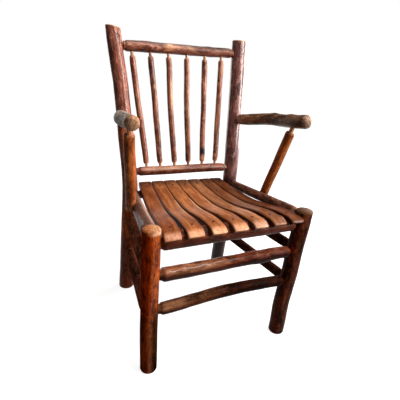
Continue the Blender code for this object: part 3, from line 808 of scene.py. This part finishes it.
def slat_wood(name):
    """Honey-brown varnished board with long open grain, dark edges, a darker rear end, a front worn bare and
    painted lighter, and painted shade on its sides and underside.
    """
    g = Graph(bpy.data.materials.new(name))
    grain = g.attribute("grain").outputs["Vector"]
    front, underside_shade, rim, back = g.masks()

    broad = g.noise(g.stretched(grain, (1, 1, 0.25)), 52.0, 3.0, 0.6, 0.5)
    pores = g.noise(g.stretched(grain, (1, 1, 0.03)), 900.0, 3.0, 0.6)
    lines = g.noise(g.stretched(grain, (1, 0.4, 0.03)), 230.0, 3.0, 0.55, 0.3)
    dashes = g.noise(g.stretched(grain, (1, 1, 0.1)), 420.0, 2.0, 0.6)
    wear = g.noise(grain, 120.0, 4.0, 0.65)
    colour = g.mix(g.range(broad, 0.32, 0.66), BOARD_DARK, BOARD_LIGHT)
    colour = g.mix(g.range(lines, 0.48, 0.62, 0.0, 0.6), colour, BOARD_LINE)
    colour = g.mix(g.range(dashes, 0.54, 0.66, 0.0, 0.5), colour, BOARD_DASH)
    colour = g.mix(g.range(pores, 0.54, 0.72, 0.0, 0.45), colour, BOARD_PORE)
    # Worn front, partly painted light.
    colour = g.mix(g.times(front, g.range(wear, 0.3, 0.6, 0.25, 0.85)), colour, BOARD_BARE_AND_LIT)
    colour = g.mix(g.times(back, g.range(wear, 0.3, 0.6, 0.35, 0.9)), colour, BOARD_REAR_DARK)
    colour = g.mix(g.times(rim, g.range(wear, 0.35, 0.6, 0.1, 0.5)), colour, BOARD_RIM)
    # Painted shade on the sides and underside.
    colour = g.mix(g.times(underside_shade, 0.8), colour, BOARD_UNDERSIDE_SHADE)
    tint = g.attribute("tint")
    colour = g.mix(1.0, colour, tint.outputs["Color"], "MULTIPLY")

    relief = g.plus(g.times(pores, -0.5), g.times(lines, -0.6))
    normal = g.bump(wear, 0.0006, 0.3, g.bump(relief, 0.0006, 0.45))
    roughness = g.range(g.plus(wear, g.times(pores, 0.4)), 0.45, 0.95, 0.24, 0.44)
    varnish = g.times(tint.outputs["Alpha"], g.range(wear, 0.35, 0.6, 0.6, 0.3))
    return g.finish(
        Base_Color=colour, Roughness=roughness, Normal=normal, Specular_IOR_Level=0.03,
        Coat_Weight=varnish, Coat_Roughness=0.22,
    )


def nail_metal(name):
    """Dark, rust-stained steel."""
    g = Graph(bpy.data.materials.new(name))
    rust = g.noise(g.attribute("grain").outputs["Vector"], 900.0, 4.0, 0.65)
    colour = g.mix(g.range(rust, 0.4, 0.65), IRON, RUST)
    roughness = g.range(rust, 0.35, 0.7, 0.42, 0.72)
    normal = g.bump(rust, 0.0003, 0.6)
    return g.finish(
        Base_Color=colour, Roughness=roughness, Normal=normal, Specular_IOR_Level=0.1,
        Coat_Roughness=0.2, Metallic=0.3,
    )


LEFT_REAR = wood_pole(
    "left_rear_varnish", (0.105, 0.033, 0.021), (0.29, 0.092, 0.058), (0.45, 0.175, 0.115),
    mottle=0.2, flecks=0.3, gloss=0.30, specular=0.05, coat=0.6, relief=0.4,
)
RIGHT_REAR = wood_pole(
    "right_rear_varnish", (0.060, 0.022, 0.019), (0.18, 0.068, 0.058), (0.33, 0.150, 0.125),
    mottle=0.15, flecks=0.25, gloss=0.28, specular=0.14, coat=1.0,
)
LEFT_FRONT = wood_pole(
    "left_front_varnish", (0.12, 0.020, 0.004), (0.35, 0.060, 0.008), (0.46, 0.110, 0.018),
    flecks=0.6, specular=0.0, coat=0.3, end=(0.52, 0.26, 0.125),
)
RIGHT_FRONT = wood_pole(
    "right_front_varnish", (0.022, 0.007, 0.004), (0.120, 0.028, 0.010), (0.200, 0.058, 0.024),
    flecks=0.6, specular=0.02, mottle=0.8, end=(0.108, 0.054, 0.029),
)
SPINDLE = wood_pole(
    "spindle_varnish", (0.105, 0.032, 0.019), (0.250, 0.078, 0.045), (0.44, 0.200, 0.115),
    flecks=0.25, mottle=0.3, gloss=0.25, specular=0.36, relief=0.3,
)
CREST = wood_pole(
    "crest_varnish", (0.100, 0.032, 0.020), (0.270, 0.092, 0.056), (0.45, 0.205, 0.125),
    flecks=0.3, mottle=0.4, gloss=0.27, specular=0.16, relief=0.45,
)
STRETCHER = wood_pole(
    "stretcher_varnish", (0.085, 0.020, 0.008), (0.29, 0.076, 0.030), (0.46, 0.180, 0.090),
    flecks=0.5, mottle=0.4, gloss=0.30, specular=0.05, coat=0.6,
)
OLIVE = wood_pole(
    "olive_varnish", (0.040, 0.015, 0.007), (0.125, 0.044, 0.018), (0.22, 0.090, 0.042),
    flecks=0.6, specular=0.015,
)
# Painted shade: a darker copy of the pole wood for the stretchers under the seat.
PAINTED_SHADE_WOOD = wood_pole(
    "painted_shade_varnish", (0.034, 0.012, 0.007), (0.105, 0.036, 0.020), (0.19, 0.075, 0.044),
    flecks=0.5, specular=0.0,
)
SUPPORT = wood_pole(
    "support_varnish", (0.16, 0.038, 0.008), (0.37, 0.100, 0.022), (0.49, 0.165, 0.045),
    flecks=0.35, mottle=0.25, specular=0.05,
)
ARM_COLOURS = (0.055, 0.027, 0.016), (0.165, 0.080, 0.041), (0.280, 0.155, 0.080)
ARM_END = (0.48, 0.27, 0.15)
ARM = wood_pole("arm_varnish", *ARM_COLOURS, flecks=0.6, specular=0.18, end=ARM_END)
BARKED = wood_pole("barked_varnish", *ARM_COLOURS, flecks=0.6, gloss=0.5, specular=0.03, end=ARM_END)
RAIL = wood_pole(
    "rail_varnish", (0.045, 0.015, 0.009), (0.140, 0.046, 0.026), (0.26, 0.105, 0.060),
    flecks=0.5, specular=0.09,
)
SLAT = slat_wood("slat_varnish")
STEEL = nail_metal("nail_steel")

# Building the chair. Turns round a pole are from the front for uprights and from the top for the rest,
# toward +X for uprights, toward the front for cross poles and toward -X for arms and side rails.

# Painted shade: the underside of a cross pole is tinted darker and left without varnish.
PAINTED_UNDERSIDE_SHADE = Patch(START, END, turn=155, spread=100, tint=(0.42, 0.32, 0.26, 0.0))

pole(
    "left_rear_post", LEFT_REAR, sides=40, swell=0.03, tip_slant=(-0.14, 0.0, 0.0),
    bows=[Bow(0.60, 0.96, x=0.003), Bow(0.06, 0.52, x=-0.0018)],
    patches=[
        Patch(0.80, 0.99, turn=-70, spread=60, dark=0.35),
        Patch(START, 0.10, dark=0.35),
        # Painted shade under the seat: the lower leg is tinted darker and more orange, and darker still near
        # the foot.
        Patch(START, 0.46, tint=(1.3, 0.8, 0.33, 0.0), edge=0.05),
        Patch(START, 0.25, dark=0.38, tint=(0.6, 0.55, 0.6), edge=0.05),
        Patch(0.44, 0.69, turn=-50, tint=(1.05, 0.8, 0.5, 0.5), edge=0.03),
    ],
)
pole(
    "right_rear_post", RIGHT_REAR, sides=40, swell=0.03, tip_slant=(-0.05, 0.0, 0.0),
    patches=[
        Patch(START, 0.12, dark=0.4),
        # Painted shade under the seat: the lower leg, most of all its front and left.
        Patch(START, 0.46, turn=-55, spread=125, tint=(0.12, 0.05, 0.04, 0.0), edge=0.05),
        Patch(START, 0.46, tint=(0.8, 0.65, 0.6, 0.3), edge=0.05),
        # Painted highlight: a pale streak down the upper post.
        Patch(0.46, END, turn=8, spread=32, tint=(1.35, 1.75, 1.95), edge=0.05),
    ],
)
pole(
    "left_front_post", LEFT_FRONT, sides=40, swell=0.03, bows=[Bow(0.02, 0.70, x=-0.002)],
    patches=[
        # Painted shade: the lower part darker, and greyer in tone; its lower right side in the seat's shadow;
        # the left side redder and darker.
        Patch(START, 0.45, dark=0.38, tint=(0.72, 1.05, 1.3), edge=0.06),
        Patch(START, 0.50, turn=70, spread=85, tint=(0.16, 0.15, 0.18, 0.0), edge=0.06),
        Patch(START, 1.0, turn=-85, tint=(1.0, 0.5, 0.25, 0.0)),
        # A worn rim below the top, made whiter as a painted highlight.
        Patch(0.968, 0.984, turn=15, spread=75, wear_and_sheen=1.0, tint=(1.5, 1.8, 2.2), edge=0.002),
    ],
)
pole(
    "right_front_post", RIGHT_FRONT, sides=40, swell=0.03,
    bows=[Bow(0.02, 0.62, x=-0.0052), Bow(0.5, 0.95, x=-0.002)],
    knots=[Knot(0.717, -56, 0.0010, 0.0065, tint=(4.5, 2.2, 1.6)), Knot(0.717, -56, 0.0, 0.0030, dark=0.9)],
    patches=[
        Patch(START, 0.9, dark=0.3),
        # Painted shade on the right side and on the left side.
        Patch(START, 0.95, turn=60, spread=95, tint=(0.42, 0.37, 0.35)),
        Patch(START, 0.95, turn=-85, spread=60, tint=(0.6, 0.35, 0.25)),
    ],
)
pole(
    "crest_rail", CREST, wobble=0.0022, swell=0.05, lumps=0.04,
    knots=[
        Knot(0.39, 60, 0.0022, 0.010, wear_and_sheen=0.8, tint=(1.2, 1.25, 1.2)),
        Knot(0.44, 95, 0.0015, 0.006, dark=0.5),
        Knot(0.555, 65, 0.0015, 0.010, wear_and_sheen=0.8, tint=(1.1, 1.15, 1.1)),
        Knot(0.22, 20, 0.0020, 0.014),
        Knot(0.72, 10, 0.0018, 0.012),
    ],
    patches=[
        Patch(0.35, 0.42, turn=60, spread=70, wear_and_sheen=0.6),
        Patch(0.0, 0.06, dark=0.5),
        PAINTED_UNDERSIDE_SHADE,
        # Painted shade on the top, most on the right half, and painted light on the front, most on the left
        # half.
        Patch(0.5, END, turn=15, spread=70, tint=(0.64, 0.67, 0.74), edge=0.03),
        Patch(0.05, 0.5, turn=75, spread=60, tint=(1.6, 1.65, 1.7), edge=0.04),
        Patch(START, END, turn=25, spread=50, tint=(0.55, 0.66, 0.72)),
        Patch(START, END, turn=90, spread=45, tint=(1.2, 1.35, 1.5)),
    ],
)
pole(
    "lower_back_rail", SPINDLE, wobble=0.0016,
    patches=[
        Patch(START, 0.12, dark=0.3, tint=(0.55, 0.45, 0.45)),
        Patch(0.1, 0.5, turn=40, spread=50, wear_and_sheen=0.5),
        PAINTED_UNDERSIDE_SHADE,
    ],
)

# Spindles from left to right: sideways bow, and lean at the foot and at the top
SPINDLES = (
    (-0.0006, (0.0032, 0.0024)),
    (0.0002, (-0.0005, -0.0018)),
    (-0.0028, (-0.001, -0.004)),
    (-0.0020, (-0.001, -0.0033)),
    (-0.001, (0.0008, 0.0)),
    (0.0004, (0.0008, 0.0)),
)
SPINDLE_KNOTS = {
    2: [Knot(0.80, -30, 0.0006, 0.006, dark=0.5)],
    5: [Knot(0.15, 0, 0.0012, 0.010)],
    6: [Knot(0.77, -45, 0.0012, 0.005, dark=0.7)],
}
# Painted light on the right side of every spindle.
SPINDLE_PAINTED_LIGHT = Patch(START, END, turn=55, spread=60, tint=(1.25, 1.4, 1.5))
SPINDLE_PATCHES = {
    1: [Patch(0.50, 0.68, turn=30, spread=70, wear_and_sheen=0.3), Patch(START, END, tint=(0.95, 0.9, 0.9))],
    2: [Patch(0.82, 0.98, tint=(0.7, 0.65, 0.8))],
    3: [Patch(0.52, 0.76, turn=40, spread=80, wear_and_sheen=0.6)],
    4: [Patch(0.04, 0.16, turn=-60, spread=60, dark=0.5), Patch(0.25, 0.95, turn=0, spread=60, wear_and_sheen=0.2)],
    5: [Patch(0.11, 0.20, turn=-30, spread=95, dark=0.62), Patch(0.06, 0.11, wear_and_sheen=0.9, tint=(1.2, 1.3, 1.4))],
    6: [Patch(0.30, 0.55, turn=-60, spread=50, wear_and_sheen=0.5), Patch(0.84, 0.90, turn=0, spread=80, wear_and_sheen=0.5)],
}
for number, (reach, lean) in enumerate(SPINDLES, 1):
    pole(
        f"back_spindle_{number}", SPINDLE, sides=24, girth=1.05, swell=0.07, lumps=0.035,
        wobble=0.002, neck_wear=0.8, lean=lean, bows=[Bow(0.04, 0.96, x=reach)],
        knots=SPINDLE_KNOTS.get(number, ()), patches=[SPINDLE_PAINTED_LIGHT, *SPINDLE_PATCHES[number]],
    )

# Painted light on the lit right side of the left support and painted shade on that of the right one.
SUPPORT_SIDE_LIGHT_AND_SHADE = {"left": (1.06, 1.03, 1.2), "right": (0.78, 0.87, 0.95)}
# Painted light on the left side stretchers and painted shade on the right ones.
STRETCHER_PAINTED_LIGHT_AND_SHADE = {"left": (2.3, 1.9, 1.75), "right": (0.55, 0.45, 0.45)}
STRETCHER_OVALS = {"left": 0.006, "right": 0.0}
for side in ("left", "right"):
    pole(
        side + "_arm_support", SUPPORT, sides=28, neck_wear=0.9, coped_to=side + "_seat_rail",
        patches=[
            Patch(START, 0.03, wear_and_sheen=0.7),
            Patch(0.04, 0.10, turn=20, spread=50, dark=0.5),
            Patch(START, END, turn=50, spread=70, tint=SUPPORT_SIDE_LIGHT_AND_SHADE[side]),
        ],
    )
    for level in ("upper", "lower"):
        pole(
            f"{side}_{level}_side_stretcher", PAINTED_SHADE_WOOD, sides=28, girth=1.14,
            oval=(-60, STRETCHER_OVALS[side]), patches=[Patch(START, END, tint=STRETCHER_PAINTED_LIGHT_AND_SHADE[side])],
        )
pole(
    "left_arm", BARKED, sides=40, lumps=0.028, thin=0.10, bows=[Bow(0.05, 1.6, z=-0.0055)],
    knots=[
        Knot(0.985, 60, 0.0, 0.007, tint=(0.5, 0.45, 0.45)),
        Knot(0.99, -120, 0.0, 0.006, tint=(0.6, 0.6, 0.65)),
    ],
    patches=[Patch(0.25, 0.93, bark=1.0), Patch(0.93, END, end=0.6, tint=(0.94, 0.92, 0.95))],
)
pole(
    "right_arm", ARM, sides=40, swell=0.05, lumps=0.045, bows=[Bow(0.38, 0.98, z=-0.003)],
    knots=[
        Knot(0.44, 75, 0.0012, 0.005, dark=0.7),
        Knot(0.55, -10, 0.0022, 0.012),
        Knot(0.78, 10, 0.0020, 0.012),
    ],
    patches=[
        Patch(0.50, 0.93, dark=0.33),
        Patch(0.05, 0.45, turn=80, spread=45, wear_and_sheen=0.12),
        Patch(0.93, END, tint=(0.56, 0.57, 0.62)),
        # Painted shade under the tip.
        Patch(0.88, END, turn=180, spread=120, tint=(0.6, 0.6, 0.6)),
        Patch(START, 0.5, turn=60, spread=80, tint=(1.4, 1.3, 1.2), edge=0.04),
    ],
)
pole(
    "left_seat_rail", RAIL,
    patches=[
        Patch(START, END, bark=0.25, tint=(0.75, 0.62, 0.56)),
        # Painted highlight: a pale streak along the inner top edge.
        Patch(0.42, 0.92, turn=-38, spread=22, wear_and_sheen=0.75, tint=(1.15, 1.65, 2.6), edge=0.04),
    ],
)
pole("right_seat_rail", RAIL, oval=(75, 0.005))
pole(
    "front_seat_rail", RAIL, oval=(-45, 0.0125), knots=[Knot(0.10, 60, 0.0015, 0.012)],
    patches=[PAINTED_UNDERSIDE_SHADE, Patch(START, END, tint=(1.0, 0.66, 0.45))],
)
pole("rear_seat_rail", RAIL)
# The painted underside shade is laid on twice here, because the underside is darker than on the other poles.
pole(
    "upper_front_stretcher", STRETCHER, sides=36, swell=0.05, lumps=0.05,
    knots=[
        Knot(0.17, 10, 0.0018, 0.008), Knot(0.30, 20, 0.0026, 0.012), Knot(0.42, 0, 0.0014, 0.008),
        Knot(0.66, 5, 0.0030, 0.014), Knot(0.82, 15, 0.0018, 0.010), Knot(0.72, 170, 0.0030, 0.020),
    ],
    patches=[
        Patch(0.05, 0.45, turn=55, spread=50, wear_and_sheen=0.3),
        # Painted shadow on the right half, deepest at the front and below.
        Patch(0.5, END, dark=0.3, tint=(0.50, 0.38, 0.30, 0.0), edge=0.08),
        Patch(0.45, END, turn=110, spread=75, tint=(0.55, 0.42, 0.33), edge=0.06),
        PAINTED_UNDERSIDE_SHADE,
        PAINTED_UNDERSIDE_SHADE,
    ],
)
pole(
    "lower_front_stretcher", OLIVE, sides=36, swell=0.05, lumps=0.035,
    bows=[Bow(0.45, 1.0, z=0.0018)],
    patches=[
        # Painted shadow on the right half.
        Patch(0.42, END, dark=0.33, tint=(0.23, 0.12, 0.07), edge=0.07),
        Patch(0.03, 0.2, turn=50, spread=50, wear_and_sheen=0.3),
        PAINTED_UNDERSIDE_SHADE,
    ],
)
pole("rear_stretcher", PAINTED_SHADE_WOOD, sides=28)

# Slats from left to right: shade, varnish, painted highlight on the right edge, front end aside, rear end
# longer
SLAT_LOOKS = (
    ((0.66, 0.53, 0.46), 1.0, 0.25, -0.0025, 0.006),
    ((0.85, 0.76, 0.66), 1.0, 1.0, -0.003, 0.006),
    ((0.95, 0.90, 0.82), 1.0, 0.7, 0.001, 0.005),
    ((0.94, 0.91, 0.88), 0.95, 0.25, 0.003, 0.003),
    ((0.80, 0.87, 0.99), 0.75, 0.2, 0.0035, 0.001),
    # The two right slats are darker partly in tone and partly as painted shadow.
    ((0.48, 0.46, 0.48), 0.3, 0.1, 0.004, 0.0),
    ((0.32, 0.26, 0.25), 0.12, 0.0, 0.0025, 0.0),
)
for number, looks in enumerate(SLAT_LOOKS, 1):
    slat(number, SLAT, *looks)
    for place in ("front", "rear"):
        nail(f"{place}_slat_nail_{number}", STEEL)
for side in ("left", "right"):
    nail(side + "_arm_support_nail", STEEL)

# Studio: white floor and surround, five lamps and the camera at the photo's angle

AZIMUTH = math.radians(25.487)  # the camera looks this far to the right of straight back
ELEVATION = math.radians(20.285)  # and this far down
ROLL = math.radians(3.977)
CAMERA_PLACE = (-0.43528, -0.91676, 0.79759)
LENS = 29.43
SENSOR = 36.0
BACKWARD = Vector((math.sin(AZIMUTH), math.cos(AZIMUTH), 0.0))
ROOM = 0.10  # brightness of the room in gloss
FILL = 0.10  # even light on the object
FLOOR_REACH = 30.0
FLOOR_DROP = 0.0005  # the floor lies this far under the feet
FLOOR_GREY = (0.30, 0.30, 0.30)
NEAR_GLOW = 0.88  # the floor's own glow near the chair, where the lamps add the rest


def make_world():
    """White for the camera; in gloss a white wall behind the chair and a dim room; a fill on the object."""
    world = bpy.data.worlds.new("studio")
    bpy.context.scene.world = world
    g = Graph(world)
    background = g.tree.nodes["Background"]
    background.inputs["Color"].default_value = (1.0, 1.0, 1.0, 1.0)
    direction = g.node("ShaderNodeTexCoord").outputs["Generated"]
    wall = g.range(g.dot(direction, BACKWARD), 0.76, 0.84)
    wall = g.times(wall, g.range(g.dot(direction, -UP), -0.26, -0.215))
    camera, ray = g.white_rays()
    wall = g.math("MAXIMUM", wall, camera)
    seen = g.plus(ROOM, g.times(wall, 1.0 - ROOM))
    strength = g.plus(FILL, g.times(ray, g.math("SUBTRACT", seen, FILL)))
    g.put(background.inputs["Strength"], strength)


def make_floor():
    """White floor that keeps the chair's shadow; in gloss it is dim toward the rest of the room."""
    mesh = bpy.data.meshes.new("floor")
    corners = [(x * FLOOR_REACH, y * FLOOR_REACH, 0) for x, y in ((-1, -1), (1, -1), (1, 1), (-1, 1))]
    mesh.from_pydata(corners, [], [(0, 1, 2, 3)])
    floor = bpy.data.objects.new("floor", mesh)
    bpy.context.scene.collection.objects.link(floor)
    floor.location.z = -FLOOR_DROP
    g = Graph(bpy.data.materials.new("floor_paint"))
    mesh.materials.append(g.finish(Base_Color=FLOOR_GREY, Roughness=0.9, Specular_IOR_Level=0.0))
    paint = g.tree.nodes["Principled BSDF"].outputs["BSDF"]
    place = g.node("ShaderNodeNewGeometry").outputs["Position"]
    away = g.node("ShaderNodeVectorMath")
    away.operation = "LENGTH"
    g.put(away.inputs[0], place)
    back = g.dot(place, BACKWARD)
    aside = g.math("ABSOLUTE", g.dot(place, BACKWARD.cross(UP)))
    spread = g.math("SUBTRACT", g.times(back, 0.66), aside)
    white = g.times(g.range(back, -0.80, -0.50), g.range(spread, -0.95, -0.80))
    camera, ray = g.white_rays()
    white = g.math("MAXIMUM", white, camera)
    level = g.plus(NEAR_GLOW, g.times(g.range(away.outputs["Value"], 0.5, 1.0), 1.0 - NEAR_GLOW))
    level = g.plus(ROOM, g.times(white, g.math("SUBTRACT", level, ROOM)))
    glow = g.node("ShaderNodeEmission", Strength=level).outputs["Emission"]
    seen = g.node("ShaderNodeAddShader")
    g.put(seen.inputs[0], paint)
    g.put(seen.inputs[1], glow)
    choice = g.node("ShaderNodeMixShader", Fac=ray)
    g.put(choice.inputs[1], paint)
    g.put(choice.inputs[2], seen.outputs["Shader"])
    g.put(g.tree.nodes["Material Output"].inputs["Surface"], choice.outputs["Shader"])


def make_light(name, place, target, size, power, colour):
    """A rectangular lamp that faces its target."""
    data = bpy.data.lights.new(name, "AREA")
    data.shape = "RECTANGLE"
    data.size, data.size_y = size
    data.energy = power
    data.color = colour
    lamp = bpy.data.objects.new(name, data)
    bpy.context.scene.collection.objects.link(lamp)
    lamp.location = place
    lamp.rotation_euler = (Vector(target) - Vector(place)).to_track_quat("-Z", "Y").to_euler()


def make_camera():
    """The photo's camera: its place, lens, direction and small roll."""
    data = bpy.data.cameras.new("camera")
    data.sensor_fit = "HORIZONTAL"
    data.sensor_width = SENSOR
    data.lens = LENS
    camera = bpy.data.objects.new("camera", data)
    bpy.context.scene.collection.objects.link(camera)
    flat = math.cos(ELEVATION)
    forward = Vector((math.sin(AZIMUTH) * flat, math.cos(AZIMUTH) * flat, -math.sin(ELEVATION)))
    level = forward.cross(UP).normalized()
    right = level * math.cos(ROLL) + level.cross(forward) * math.sin(ROLL)
    turn = Matrix((right, right.cross(forward), -forward)).transposed()
    camera.matrix_world = Matrix.Translation(CAMERA_PLACE) @ turn.to_4x4()
    bpy.context.scene.camera = camera


make_world()
make_floor()
make_light("window", (1.9, 0.4, 0.95), (0.0, 0.0, 0.60), (1.3, 1.2), 62.0, (1.0, 0.90, 0.84))
make_light("front", (1.25, -1.15, 1.15), (0.0, 0.1, 0.60), (0.42, 1.1), 46.0, (1.0, 0.92, 0.87))
make_light("skylight", (0.45, -1.05, 1.70), (0.0, 0.0, 0.55), (0.40, 0.40), 15.0, (1.0, 0.93, 0.89))
make_light("rear", (-0.6, 2.3, 0.70), (0.0, 0.1, 0.50), (1.2, 0.9), 12.0, (1.0, 0.94, 0.90))
make_light("ceiling", (0.3, 0.0, 2.3), (0.0, 0.0, 0.45), (1.0, 0.9), 22.0, (1.0, 0.93, 0.88))
make_camera()
bpy.context.scene.view_settings.view_transform = "Standard"
